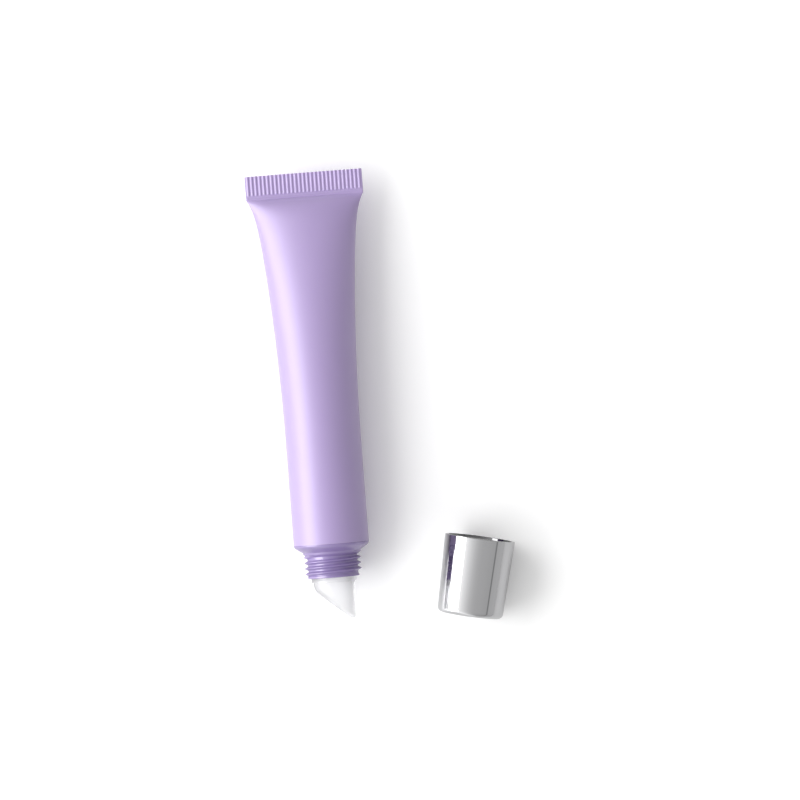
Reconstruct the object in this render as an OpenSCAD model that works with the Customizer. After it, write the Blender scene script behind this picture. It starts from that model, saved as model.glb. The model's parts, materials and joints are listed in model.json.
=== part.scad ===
// Squeeze tube for lip gloss, lying open on a table with its screw cap beside it.
// Every piece is drawn along its own axis first and then laid down.
// Tube axis: z = 0 at the sleeve's round end, +z out through the neck and the tip.
// Cap axis: z = 0 at the mouth, +z towards the closed end.

/* [Sleeve] */
// Outside diameter of the round stretch of the sleeve
sleeve_d = 19; // [17:0.5:22]
// Length of the sleeve from the crimped edge to the shoulder
sleeve_len = 94; // [80:1:130]
// Wall thickness of the sleeve
sleeve_wall = 0.45; // [0.3:0.05:0.6]
// Length over which the round sleeve flattens towards the crimp
flare_len = 66; // [50:1:74]
// Height of the crimped seal, with the plain strip under its ridges
crimp_h = 6; // [5:0.5:8]
// Height of the ridges
ridge_len = 4.85; // [3:0.05:4.9]
// Thickness of the crimped seal between the roots of its ridges
crimp_t = 0.8; // [0.7:0.05:1]
// Number of ridges across the crimp
ridge_count = 29; // [15:1:40]
// Height of one ridge above the seal
ridge_h = 0.18; // [0.1:0.02:0.3]

/* [Head] */
// Height of the sloping shoulder
shoulder_h = 1.56; // [1.4:0.02:1.7]
// Height of the neck's end above the sleeve
neck_top = 8.15; // [7.5:0.05:9]
// Radius of the neck between the thread ridges
neck_r = 6.3; // [6:0.1:6.4]
// Height of the thread ridge
thread_h = 0.85; // [0.6:0.05:0.9]
// Pitch of the thread
thread_pitch = 1.4; // [1.2:0.1:1.6]
// Radius of the bore that holds the tip
bore_r = 4.7; // [4.2:0.1:4.9]

/* [Tip] */
// Radius of the collar that sits on the neck
collar_r = 5.65; // [5.4:0.05:5.7]
// Height of the collar
collar_h = 1.15; // [0.8:0.05:1.3]
// Radius of the tip where it leaves the collar
tip_base_r = 5.2; // [4.8:0.1:5.3]
// Radius of the tip at its point
tip_end_r = 4.87; // [4.5:0.1:5.2]
// Height of the tip's point above the sleeve's end
tip_top = 18.8; // [18:0.1:19]
// Angle between the slanted face and the neck's end
slant = 40; // [35:1:42]
// Wall thickness of the tip
tip_wall = 1.05; // [0.8:0.05:1.3]
// Radius of the outlet in the slanted face
outlet_r = 0.75; // [0.5:0.05:1.2]

/* [Cap] */
// Radius of the cap at its mouth
cap_mouth_r = 8.9; // [8.9:0.1:9.4]
// Radius of the cap at its closed end
cap_end_r = 8.35; // [8.3:0.05:8.9]
// Length of the cap
cap_len = 19.8; // [19.8:0.1:22]
// Radius of the rounded edge at the closed end
cap_edge_r = 1.3; // [0.8:0.1:2]
// Wall thickness of the plated shell
shell_wall = 0.85; // [0.8:0.05:0.9]

/* [Layout] */
// Sideways distance from the tube's axis to the cap's mouth
cap_x = 37.5; // [30:0.5:60]
// Distance of the cap's mouth past the sleeve's end
cap_along = 1.05; // [0:0.05:10]
// Angle between the cap's axis and the tube's
cap_yaw = 12; // [0:1:20]

/* [Hidden] */

$fn = 64;
slip = 0.02;
overlap = 0.4;

// Sleeve: the middle of its wall keeps one perimeter from the round end to the seal.
sleeve_r = sleeve_d / 2;
mid_r = sleeve_r - sleeve_wall / 2;
wall_girth = 2 * PI * mid_r;
crimp_w = wall_girth / 2;
ring_points = 48;
flare_share = 0.305;
flare_reach = 3.3;
taper_power = 2.2;
flat_half = 0.05;
flare_steps = 20;
flare_spacing = 1.6;
halvings = 18;
fill_gap = 0.08;
fill_top = 2.6;
fill_start = 1.2;

// Head: shoulder, skirt inside the sleeve and the neck.
shoulder_start = 0.4;
shoulder_round = 1.1;
shoulder_turn = 57;
shoulder_r = 7.4;
neck_base_r = 7.2;
neck_base_z = 2.1;
neck_root_z = 2.75;
rim_r = neck_r + 0.2;
rim_z = 7.45;
rim_chamfer = 0.15;
skirt_len = 2.2;
skirt_wall = 0.9;
skirt_slope_z = 1;
head_wall = 1.3;
thread_steps = 30;
thread_sink = 0.15;
thread_least = 0.05;
thread_crest = 0.16;
thread_root = 1.06;
thread_zero_z = 3.48;
thread_start = -240;
thread_end = 950;
thread_run_in = 60;

// Tip: plug below the collar, hollow body above it.
plug_len = 5.2;
plug_wall = 0.8;
apex_round = 0.75;
heel_round = 3;
heel_in = 0.1;
least_round = 0.05;
slant_axis_z = 15.54;

// Cap: inner liner with a female thread, and the washer above it.
end_wall = 1.2;
liner_set_back = 0.6;
liner_wall = 0.8;
liner_thread_len = 6.6;
groove_r = neck_r + thread_h + 0.12;
liner_ridge_r = neck_r + 0.27;
liner_bore_r = 5.9;
liner_mid_r = 7.1;
liner_step_z = 7.6;
liner_wide_len = 8.8;
liner_slope = 0.4;
liner_entry_r = 0.25;
liner_entry_z = 0.5;
liner_exit_z = 0.3;
liner_thread_lift = 0.9;
liner_thread_end = 1150;
lip_chamfer = 0.15;
seat_r = 6.75;
ring_out_r = seat_r - 0.05;
ring_in_r = 6;
ring_t = 0.8;
ring_play = 0.05;
cap_taper = atan((cap_mouth_r - cap_end_r) / cap_len);

// The origin is the middle of the laid-out object's footprint.
cap_dir_x = sin(cap_yaw) * cos(cap_taper);
cap_right = cap_x + cap_mouth_r * sqrt(1 - cap_dir_x * cap_dir_x);
cap_low = cap_along + (cap_len - cap_edge_r) * cos(cap_yaw) * cos(cap_taper)
  + (cap_end_r - cap_edge_r) * sin(cap_yaw) + cap_edge_r;
origin_x = (cap_right - crimp_w / 2) / 2;
origin_y = (sleeve_len - cap_low) / 2;

// Perimeter of an ellipse with the half-axes a and b.
function girth(a, b) = PI * (3 * (a + b) - sqrt((3 * a + b) * (a + 3 * b)));

// Half height that gives a section of half width a the wall's girth, by halving.
function half_height(a, low, high, turns) =
  let (middle = (low + high) / 2)
  turns == 0 ? middle
  : girth(a, middle) > wall_girth ? half_height(a, low, middle, turns - 1)
  : half_height(a, middle, high, turns - 1);

// Half width of the wall's middle at a distance s from the seal: a slow power
// taper and a quick decay near the seal.
function half_width(s) =
  let (left = max(0, 1 - s / flare_len))
  let (slow = (1 - flare_share) * pow(left, taper_power))
  let (quick = flare_share * exp(-s / flare_reach))
  mid_r + (crimp_w / 2 - mid_r) * (slow + quick);

// One section of the sleeve, moved by grow from the wall's middle, at z.
function section(s, grow) =
  let (a = half_width(s), b = max(flat_half, half_height(a, 0, mid_r, halvings)))
  [for (i = [0 : ring_points - 1])
    let (turn = 360 * i / ring_points)
    let (nx = cos(turn) / a, ny = sin(turn) / b, n = norm([nx, ny]))
    [
      a * cos(turn) + grow * nx / n,
      b * sin(turn) + grow * ny / n,
      s - sleeve_len + crimp_h
    ]];

// Closed skin over a list of rings that all have the same number of points.
module skin(rings) {
  count = len(rings[0]);
  last = len(rings) - 1;
  points = [for (ring = rings) each ring];
  first_cap = [for (i = [0 : count - 1]) i];
  last_cap = [for (i = [count - 1 : -1 : 0]) last * count + i];
  sides = [for (k = [0 : last - 1]) for (i = [0 : count - 1])
    let (j = (i + 1) % count)
    each [
      [k * count + i, (k + 1) * count + i, (k + 1) * count + j],
      [k * count + i, (k + 1) * count + j, k * count + j]
    ]];
  polyhedron(points = points, faces = concat([first_cap, last_cap], sides), convexity = 6);
}

// Stations along the flare, closer together near the seal, then the round end.
function stations(first, last) = concat(
  [for (k = [0 : flare_steps]) first + (flare_len - first) * pow(k / flare_steps, flare_spacing)],
  [last]
);

// Wave of half-round ridges across one face of the seal, in the x and y plane.
function ridge_edge(side) = [
  for (k = [0 : ridge_count * 4])
    let (x = crimp_w * (k / (ridge_count * 4) - 0.5))
    [side * x, side * (crimp_t / 2 + ridge_h * (1 - cos(360 * k / 4)) / 2)]
];

// Ridge swept round an axis at the given pitch. Its height fades in and out.
// side is 1 for a ridge outside a cylinder and -1 for one inside a bore.
module thread_ridge(r, height, side, from, to, zero_z, root, crest) {
  steps = ceil((to - from) * thread_steps / 360);
  skin([
    for (k = [0 : steps])
      let (turn = from + (to - from) * k / steps)
      let (fade = min(1, (turn - from) / thread_run_in, (to - turn) / thread_run_in))
      let (rise = max(thread_least, fade), z = zero_z + thread_pitch * turn / 360)
      let (base = r - side * thread_sink, top = r + side * height * rise)
      let (w = crest + (root - crest) * (1 - rise))
      let (way = [cos(turn), sin(turn)])
      let (low = z - root / 2, high = z + root / 2)
      side > 0
      ? [[base * way.x, base * way.y, high], [top * way.x, top * way.y, z + w / 2],
         [top * way.x, top * way.y, z - w / 2], [base * way.x, base * way.y, low]]
      : [[base * way.x, base * way.y, low], [top * way.x, top * way.y, z - w / 2],
         [top * way.x, top * way.y, z + w / 2], [base * way.x, base * way.y, high]]
  ]);
}

// Points of an arc about a centre, between two angles.
function arc(centre, r, from, to, steps) = [
  for (k = [0 : steps])
    let (turn = from + (to - from) * k / steps)
    centre + r * [cos(turn), sin(turn)]
];

module lay_tube() {
  translate([-origin_x, -origin_y, sleeve_r]) rotate([90, 0, 0]) children();
}

module lay_cap() {
  translate([cap_x - origin_x, -cap_along - origin_y, cap_mouth_r * cos(cap_taper)])
    rotate([90 + cap_taper, 0, -cap_yaw]) children();
}

// Soft sleeve: seal with its ridges, and one wall from the seal to the round end.
module sleeve() {
  outer = stations(0, sleeve_len - crimp_h - shoulder_start);
  inner = stations(fill_start, sleeve_len - crimp_h - shoulder_start);
  wall = sleeve_wall / 2;
  color("plum") lay_tube() {
    skin(concat(
      [for (s = outer) section(s, wall)],
      [for (k = [len(inner) - 1 : -1 : 0]) section(inner[k], -wall)]
    ));
    translate([0, 0, -sleeve_len]) linear_extrude(ridge_len)
      polygon(concat(ridge_edge(-1), ridge_edge(1)));
    translate([-crimp_w / 2, -crimp_t / 2, ridge_len - sleeve_len - overlap])
      cube([crimp_w, crimp_t, crimp_h - ridge_len + 2 * overlap]);
  }
}

// Shoulder and threaded neck, with a skirt that the sleeve is welded round.
module tube_head() {
  skirt_r = sleeve_r - sleeve_wall - slip;
  skirt_in_r = skirt_r - skirt_wall;
  edge = [sleeve_r - shoulder_round, -shoulder_start];
  color("mediumpurple") lay_tube() {
    rotate_extrude() polygon(concat(
      [[skirt_r, -skirt_len], [skirt_r, -shoulder_start]],
      arc(edge, shoulder_round, 0, shoulder_turn, 8),
      [[shoulder_r, shoulder_h], [neck_base_r, neck_base_z], [neck_r, neck_root_z]],
      [[neck_r, rim_z], [rim_r, rim_z + rim_chamfer]],
      [[rim_r, neck_top - rim_chamfer], [rim_r - rim_chamfer, neck_top]],
      [[bore_r, neck_top], [bore_r, shoulder_h]],
      [[shoulder_r, shoulder_h - head_wall], [skirt_in_r, -skirt_slope_z]],
      [[skirt_in_r, -skirt_len]]
    ));
    thread_ridge(neck_r, thread_h, 1, thread_start, thread_end, thread_zero_z,
      thread_root, thread_crest);
  }
}

// Side view of the tip above the collar: the slanted face with its two rounded ends.
// inset moves every side inwards and leaves the foot where it is.
module tip_side(inset) {
  top_r = apex_round;
  // Centres of the two arcs lie on a line parallel to the slanted face.
  apex_x = tip_end_r - top_r;
  apex_z = slant_axis_z + apex_x * tan(slant) - top_r / cos(slant);
  heel_x = -tip_end_r - heel_in + heel_round;
  heel_z = slant_axis_z + heel_x * tan(slant) - heel_round / cos(slant);
  foot = neck_top + collar_h / 2;
  polygon(concat(
    [[2 * collar_r, foot], [2 * collar_r, apex_z]],
    inset > 0 ? [] : [[tip_end_r, apex_z]],
    arc([apex_x, apex_z], max(least_round, top_r - inset), 0, 90 + slant, 8),
    arc([heel_x, heel_z], heel_round - inset, 90 + slant, 180, 8),
    [[-2 * collar_r, heel_z], [-2 * collar_r, foot]]
  ));
}

// Solid of the tip's body, with its walls moved inwards by inset.
module tip_body(inset) {
  base = neck_top + collar_h / 2;
  intersection() {
    translate([0, 0, base]) cylinder(
      h = tip_top - base, r1 = tip_base_r - inset, r2 = tip_end_r - inset
    );
    rotate([90, 0, 0]) translate([0, 0, -2 * collar_r]) linear_extrude(4 * collar_r)
      tip_side(inset);
  }
}

// Slanted applicator: plug in the neck's bore, collar, and a hollow body.
module slant_tip() {
  plug_r = bore_r - slip;
  hollow_r = plug_r - plug_wall;
  color("gainsboro") lay_tube() difference() {
    union() {
      translate([0, 0, neck_top - plug_len]) cylinder(h = plug_len + overlap, r = plug_r);
      translate([0, 0, neck_top]) cylinder(h = collar_h, r = collar_r);
      tip_body(0);
    }
    translate([0, 0, neck_top - plug_len - 1])
      cylinder(h = plug_len + collar_h + 1, r = hollow_r);
    tip_body(tip_wall);
    translate([0, 0, slant_axis_z])
      cylinder(h = 6 * tip_wall, r = outlet_r, center = true);
  }
}

// The gloss that fills the sleeve from the seal to the head.
module gloss_fill() {
  color("pink") lay_tube() skin([
    for (s = stations(fill_start, sleeve_len - crimp_h - fill_top))
      section(s, -sleeve_wall / 2 - fill_gap)
  ]);
}

// Radius of the inside of the shell at a distance z from the mouth.
function shell_in_r(z) = cap_mouth_r - shell_wall - z * tan(cap_taper);

// Plated outer shell of the cap.
module cap_shell() {
  edge = [cap_end_r - cap_edge_r, cap_len - cap_edge_r];
  inner_z = cap_len - end_wall;
  lip = lip_chamfer;
  color("silver") lay_cap() rotate_extrude() polygon(concat(
    [[shell_in_r(0), lip], [shell_in_r(0) + lip, 0], [cap_mouth_r - lip, 0]],
    [[cap_mouth_r, lip]],
    arc(edge, cap_edge_r, cap_taper, 90, 10),
    [[0, cap_len], [0, inner_z], [shell_in_r(inner_z), inner_z]]
  ));
}

// Liner pressed into the shell: female thread, step for the washer, blind bore.
module cap_liner() {
  roof_z = cap_len - end_wall - slip;
  color("whitesmoke") lay_cap() {
    rotate_extrude() polygon([
      [groove_r + liner_entry_r, liner_set_back],
      [shell_in_r(liner_set_back) - slip, liner_set_back],
      [shell_in_r(liner_wide_len) - slip, liner_wide_len],
      [liner_mid_r, liner_wide_len + liner_slope],
      [liner_mid_r, roof_z], [0, roof_z], [0, roof_z - liner_wall],
      [liner_bore_r, roof_z - liner_wall], [liner_bore_r, liner_step_z],
      [seat_r, liner_step_z], [seat_r, liner_thread_len],
      [groove_r, liner_thread_len - liner_exit_z], [groove_r, liner_set_back + liner_entry_z]
    ]);
    thread_ridge(groove_r, groove_r - liner_ridge_r, -1, 0, liner_thread_end,
      liner_set_back + liner_thread_lift, thread_root, thread_crest);
  }
}

// Loose washer that seals the neck's end. It doesn't turn with the cap.
module sealing_ring() {
  color("white") lay_cap() translate([0, 0, liner_step_z - ring_play - ring_t])
    difference() {
      cylinder(h = ring_t, r = ring_out_r);
      translate([0, 0, -ring_t]) cylinder(h = 3 * ring_t, r = ring_in_r);
    }
}

sleeve();
tube_head();
slant_tip();
gloss_fill();
cap_shell();
cap_liner();
sealing_ring();
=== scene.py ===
"""Squeeze tube for lip gloss and its screw cap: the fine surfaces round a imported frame.

Lengths inside the shape functions are in millimetres. Two sets of axes are used, as in
the design: the tube's, with z = 0 at the sleeve's round end and +z out through the tip,
and the cap's, with z = 0 at the mouth and +z towards the closed end.
"""

import json
import math

import bpy
import numpy as np
from bpy.props import FloatProperty, FloatVectorProperty, IntProperty, PointerProperty
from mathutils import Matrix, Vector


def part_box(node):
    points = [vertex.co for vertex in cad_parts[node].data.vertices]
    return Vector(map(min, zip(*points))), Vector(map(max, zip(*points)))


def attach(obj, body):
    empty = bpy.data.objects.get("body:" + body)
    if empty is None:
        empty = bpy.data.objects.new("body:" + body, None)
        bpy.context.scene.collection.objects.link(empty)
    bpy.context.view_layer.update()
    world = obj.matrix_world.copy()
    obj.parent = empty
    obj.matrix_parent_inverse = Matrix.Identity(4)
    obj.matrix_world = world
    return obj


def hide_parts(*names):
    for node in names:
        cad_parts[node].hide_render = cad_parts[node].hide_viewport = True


bl_info = {
    "name": "Gloss Tube",
    "version": (1, 0, 0),
    "blender": (4, 5, 0),
    "location": "View3D > Sidebar > Gloss Tube",
    "description": "Builds a crimped squeeze tube with a slanted tip and its screw cap",
    "category": "Add Mesh",
}

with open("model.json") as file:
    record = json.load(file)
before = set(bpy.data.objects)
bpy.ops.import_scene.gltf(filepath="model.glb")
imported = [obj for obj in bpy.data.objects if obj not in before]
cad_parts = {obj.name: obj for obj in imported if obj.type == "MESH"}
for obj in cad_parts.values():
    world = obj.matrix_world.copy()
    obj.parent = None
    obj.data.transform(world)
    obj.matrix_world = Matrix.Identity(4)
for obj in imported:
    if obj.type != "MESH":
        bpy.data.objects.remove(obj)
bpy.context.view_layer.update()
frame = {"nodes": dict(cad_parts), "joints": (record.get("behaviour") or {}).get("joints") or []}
MM = 0.001


# ---------------------------------------------------------------- places in the frame

def millimetres(corner):
    """A corner of a node's box as an array in millimetres."""
    return np.array(corner, float) / MM


SLEEVE_LOW, SLEEVE_HIGH = (millimetres(c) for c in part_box("sleeve"))
HEAD_LOW = millimetres(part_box("tube_head")[0])
CAP_JOINT = next(j for j in frame["joints"] if j["name"] == "cap_turn")
TUBE_X = (SLEEVE_LOW[0] + SLEEVE_HIGH[0]) / 2
TUBE_Z = (SLEEVE_LOW[2] + SLEEVE_HIGH[2]) / 2
SLEEVE_R = (SLEEVE_HIGH[2] - SLEEVE_LOW[2]) / 2
CAP_MOUTH = np.array(CAP_JOINT["pos_m"], float) / MM
CAP_AXIS = np.array(CAP_JOINT["axis"], float)
CAP_AXIS /= np.linalg.norm(CAP_AXIS)
# The design's rings have flat sides, so a true circle is drawn this much smaller.
CAP_SNUG = 0.9993


# ------------------------------------------------------------------- sizes and finishes

def size(name, default, low, high, note):
    """A length in millimetres that a user may change."""
    return FloatProperty(
        name=name, description=note, default=default, min=low, max=high, precision=3
    )


def tint(name, default, note):
    """A colour that a user may change."""
    return FloatVectorProperty(
        name=name, description=note, default=default, size=3, min=0, max=1, subtype="COLOR"
    )


class GlossSleeveSizes(bpy.types.PropertyGroup):
    wall: size("Wall", 0.45, 0.3, 0.6, "Thickness of the sleeve's wall in mm")
    flare: size("Flare", 66, 50, 74, "Length over which the sleeve flattens in mm")
    seal: size("Seal", 6, 5, 8, "Height of the crimped seal in mm")
    seal_t: size("Seal thickness", 0.8, 0.7, 1, "Thickness of the seal in mm")
    ridge: size("Ridge height", 0.18, 0.1, 0.3, "Height of one ridge in mm")
    ridge_len: size("Ridge length", 4.85, 3, 4.9, "Length of the ridges in mm")
    ridges: IntProperty(
        name="Ridges", description="Number of ridges across the seal",
        default=29, min=15, max=40,
    )


class GlossHeadSizes(bpy.types.PropertyGroup):
    top: size("Neck top", 8.15, 7.5, 9, "Height of the neck's end above the sleeve in mm")
    shoulder: size("Shoulder", 1.56, 1.4, 1.7, "Height of the sloping shoulder in mm")
    neck: size("Neck radius", 6.3, 6, 6.4, "Radius between the thread's ridges in mm")
    thread: size("Thread height", 0.85, 0.6, 0.9, "Height of the thread's ridge in mm")
    pitch: size("Pitch", 1.4, 1.2, 1.6, "Pitch of the thread in mm")
    bore: size("Bore", 4.7, 4.2, 4.9, "Radius of the bore that holds the tip in mm")


class GlossTipSizes(bpy.types.PropertyGroup):
    collar: size("Collar radius", 5.65, 5.4, 5.7, "Radius of the collar in mm")
    collar_h: size("Collar height", 1.15, 0.8, 1.3, "Height of the collar in mm")
    base: size("Foot radius", 5.2, 4.8, 5.3, "Radius where the tip leaves its collar in mm")
    end: size("End radius", 4.87, 4.5, 5.2, "Radius of the tip at its point in mm")
    wall: size("Wall", 1.05, 0.8, 1.3, "Thickness of the tip's wall in mm")
    outlet: size("Outlet", 0.75, 0.5, 1.2, "Radius of the outlet in mm")
    slant: FloatProperty(
        name="Slant", description="Angle of the slanted face", subtype="ANGLE",
        default=math.radians(40), min=math.radians(35), max=math.radians(42),
    )


class GlossCapSizes(bpy.types.PropertyGroup):
    mouth: size("Mouth radius", 8.9, 8.9, 9.4, "Radius of the cap at its mouth in mm")
    end: size("End radius", 8.35, 8.3, 8.9, "Radius of the cap at its closed end in mm")
    length: size("Length", 19.8, 19.8, 22, "Length of the cap in mm")
    edge: size("Edge", 1.3, 0.8, 2, "Radius of the rounded edge in mm")
    wall: size("Wall", 0.85, 0.8, 0.9, "Thickness of the plated shell in mm")


class GlossFinishes(bpy.types.PropertyGroup):
    sleeve: tint("Sleeve", (0.39, 0.30, 0.55), "Colour of the soft sleeve")
    head: tint("Head", (0.265, 0.20, 0.415), "Colour of the shoulder and neck")
    tip: tint("Tip", (0.90, 0.90, 0.91), "Colour of the milky tip")
    gloss: tint("Gloss", (0.75, 0.40, 0.48), "Colour of the gloss inside")
    plating: tint("Plating", (0.56, 0.56, 0.57), "Colour of the plated shell")
    liner: tint("Liner", (0.30, 0.30, 0.30), "Colour of the cap's liner")
    ring: tint("Ring", (0.85, 0.85, 0.84), "Colour of the sealing ring")
    floor: tint("Floor", (0.88, 0.88, 0.88), "Colour of the floor")


class GlossStudio(bpy.types.PropertyGroup):
    key_power: FloatProperty(
        name="Key power", description="Power of the large light on the left",
        default=7.0, min=0, max=100,
    )
    shine_power: FloatProperty(
        name="Shine power", description="Power of the light that only makes highlights",
        default=12.0, min=0, max=100,
    )
    sky_strength: FloatProperty(
        name="Room strength", description="Strength of the light from all round",
        default=0.97, min=0, max=5,
    )
    lens: FloatProperty(
        name="Lens", description="Focal length of the camera in mm",
        default=300, min=20, max=400,
    )
    camera_height: FloatProperty(
        name="Camera height", description="Height of the camera above the floor",
        default=1.689, min=0.2, max=3, subtype="DISTANCE", unit="LENGTH",
    )


class GlossTube(bpy.types.PropertyGroup):
    sleeve: PointerProperty(type=GlossSleeveSizes)
    head: PointerProperty(type=GlossHeadSizes)
    tip: PointerProperty(type=GlossTipSizes)
    cap: PointerProperty(type=GlossCapSizes)
    finish: PointerProperty(type=GlossFinishes)
    studio: PointerProperty(type=GlossStudio)


def settings():
    """All the sizes, colours and studio values of the open scene."""
    return bpy.context.scene.gloss_tube


# ----------------------------------------------------------------------- shape helpers

# Clearance between two pieces, and the gap before a profile turns a corner, in mm.
SLIP = 0.02
GAP = 0.05
# Widths of the thread's ridge in mm, and the part of a turn it rises over, in degrees.
THREAD_ROOT = 1.06
THREAD_CREST = 0.16
THREAD_RUN_IN = 60
# Edges sharper than this many degrees are not smoothed, on plain and threaded pieces.
SHARP_PLAIN = 38
SHARP_THREADED = 55


def sleeve_end_y():
    """Y of the sleeve's round end in millimetres."""
    return HEAD_LOW[1] + settings().head.top


def sleeve_length():
    """Distance from the sleeve's round end to its crimped edge in millimetres."""
    return SLEEVE_HIGH[1] - sleeve_end_y()


def lay_tube(points):
    """Tube axes to the frame: x stays, z runs to -Y from the sleeve's end, y turns up."""
    return np.stack([
        points[..., 0] + TUBE_X,
        sleeve_end_y() - points[..., 2],
        points[..., 1] + TUBE_Z,
    ], axis=-1)


def lay_cap(points):
    """Cap axes to the frame: z along the cap's joint axis, x level, y upwards."""
    across = np.cross([0, 0, 1], CAP_AXIS)
    across /= np.linalg.norm(across)
    up = np.cross(CAP_AXIS, across)
    return CAP_MOUTH + CAP_SNUG * points @ np.stack([across, up, CAP_AXIS])


def arc(centre, radius, start, end, count):
    """Points on a circle about centre, from the angle start to end, in degrees."""
    turn = np.radians(np.linspace(start, end, count))
    return np.stack([
        centre[0] + radius * np.cos(turn),
        centre[1] + radius * np.sin(turn),
    ], axis=-1)


def line(first, last, count):
    """Evenly spaced points between two places, without the last."""
    share = np.linspace(0, 1, count, endpoint=False)[:, None]
    return np.array(first, float) * (1 - share) + np.array(last, float) * share


def outline(*stretches):
    """One profile of radius and height from single points and rows of points."""
    return np.concatenate([np.atleast_2d(np.array(s, float)) for s in stretches])


def turned(profile, columns):
    """Surface of revolution: each (radius, z) pair becomes a ring of columns points."""
    turn = np.linspace(0, 2 * np.pi, columns, endpoint=False)
    radius, z = profile[:, :1], profile[:, 1:]
    return np.stack([
        radius * np.cos(turn), radius * np.sin(turn), np.broadcast_to(z, (len(z), columns))
    ], axis=-1)


def thread_share(profile, columns, zero, start, end):
    """How far a helical ridge has risen at each point of a turned profile, from 0 to 1.

    The ridge's centre is at the height zero where the turn is zero, and climbs by one
    pitch a turn. A point's distance from the nearest turn of the ridge, measured along
    the axis, is set against the ridge's half widths at root and crest, and the share
    fades out over a part of a turn at both ends.
    """
    pitch = settings().head.pitch
    turn = np.linspace(0, 360, columns, endpoint=False)
    phase = (profile[:, 1:] - zero) / pitch - turn / 360
    whole = np.round(phase)
    away = np.abs(phase - whole) * pitch
    along = turn + 360 * whole
    fade = np.clip(np.minimum(along - start, end - along) / THREAD_RUN_IN, 0, 1)
    fade = fade * fade * (3 - 2 * fade)
    flank = (THREAD_ROOT / 2 - away) / (THREAD_ROOT / 2 - THREAD_CREST / 2)
    return fade * np.clip(flank, 0, 1)


def swell(grid, profile, rise):
    """Moves the points of a turned profile's grid outwards by rise."""
    grid[..., :2] *= (1 + rise / profile[:, :1])[..., None]


def surface(name, grid, place, close_rows, sharp_angle=SHARP_PLAIN):
    """A closed mesh from a grid of points whose columns close on themselves.

    With close_rows the last row joins the first, as on a ring. Otherwise each end gets
    a fan to its own middle. The enclosed volume's sign turns the faces outwards.
    """
    rows, columns = grid.shape[:2]
    points = place(grid).reshape(-1, 3) * MM
    index = np.arange(rows * columns).reshape(rows, columns)
    upper = np.roll(index, -1, axis=0) if close_rows else index[1:]
    lower = index if close_rows else index[:-1]
    quads = np.stack([
        lower, np.roll(lower, -1, axis=1), np.roll(upper, -1, axis=1), upper
    ], axis=-1).reshape(-1, 4)
    fans = np.zeros((0, 3), int)
    if not close_rows:
        middles = np.stack([points[index[0]].mean(axis=0), points[index[-1]].mean(axis=0)])
        first, last = len(points), len(points) + 1
        points = np.concatenate([points, middles])
        fans = np.concatenate([
            np.stack([np.roll(index[0], -1), index[0], np.full(columns, first)], axis=-1),
            np.stack([index[-1], np.roll(index[-1], -1), np.full(columns, last)], axis=-1),
        ])
    corners = np.concatenate([quads[:, [0, 1, 2]], quads[:, [0, 2, 3]], fans])
    a, b, c = (points[corners[:, k]] for k in range(3))
    if np.einsum("ij,ij->", a, np.cross(b, c)) < 0:
        quads, fans = quads[:, ::-1], fans[:, ::-1]
    mesh = bpy.data.meshes.new(name)
    mesh.from_pydata(points.tolist(), [], quads.tolist() + fans.tolist())
    mesh.shade_smooth()
    mesh.set_sharp_from_angle(angle=math.radians(sharp_angle))
    piece = bpy.data.objects.new(name, mesh)
    bpy.context.scene.collection.objects.link(piece)
    return piece


def finish_piece(piece, material, body, node):
    """Gives a piece its material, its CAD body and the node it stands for."""
    piece.data.materials.append(material)
    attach(piece, body)
    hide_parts(node)


# --------------------------------------------------------------------- material helpers

def node_group(name, inputs, outputs):
    """A new shader node group with named sockets: (name, socket type, default)."""
    group = bpy.data.node_groups.new(name, "ShaderNodeTree")
    for label, kind, default in inputs:
        socket = group.interface.new_socket(label, in_out="INPUT", socket_type=kind)
        if default is not None:
            socket.default_value = default
    for label, kind in outputs:
        group.interface.new_socket(label, in_out="OUTPUT", socket_type=kind)
    return group, group.nodes.new("NodeGroupInput"), group.nodes.new("NodeGroupOutput")


def mottle_group():
    """Slow cloudy change and a fine grain, both from 0 to 1, on object coordinates."""
    if "moulded_mottle" in bpy.data.node_groups:
        return bpy.data.node_groups["moulded_mottle"]
    group, entry, out = node_group(
        "moulded_mottle",
        [("Cloud Scale", "NodeSocketFloat", 60.0), ("Grain Scale", "NodeSocketFloat", 2500.0)],
        [("Cloud", "NodeSocketFloat"), ("Grain", "NodeSocketFloat")],
    )
    place = group.nodes.new("ShaderNodeTexCoord")
    patterns = (("Cloud Scale", "Cloud", 2.0), ("Grain Scale", "Grain", 4.0))
    for label, output, detail in patterns:
        noise = group.nodes.new("ShaderNodeTexNoise")
        noise.inputs["Detail"].default_value = detail
        group.links.new(place.outputs["Object"], noise.inputs["Vector"])
        group.links.new(entry.outputs[label], noise.inputs["Scale"])
        group.links.new(noise.outputs["Fac"], out.inputs[output])
    return group


def relief_group():
    """Fine relief as a normal: noise of the given scale, raised by the given distance."""
    if "fine_relief" in bpy.data.node_groups:
        return bpy.data.node_groups["fine_relief"]
    group, entry, out = node_group(
        "fine_relief",
        [
            ("Scale", "NodeSocketFloat", 3000.0),
            ("Strength", "NodeSocketFloat", 0.2),
            ("Distance", "NodeSocketFloat", 0.00002),
        ],
        [("Normal", "NodeSocketVector")],
    )
    place = group.nodes.new("ShaderNodeTexCoord")
    noise = group.nodes.new("ShaderNodeTexNoise")
    noise.inputs["Detail"].default_value = 3.0
    bump = group.nodes.new("ShaderNodeBump")
    group.links.new(place.outputs["Object"], noise.inputs["Vector"])
    group.links.new(entry.outputs["Scale"], noise.inputs["Scale"])
    group.links.new(noise.outputs["Fac"], bump.inputs["Height"])
    group.links.new(entry.outputs["Strength"], bump.inputs["Strength"])
    group.links.new(entry.outputs["Distance"], bump.inputs["Distance"])
    group.links.new(bump.outputs["Normal"], out.inputs["Normal"])
    return group


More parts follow.
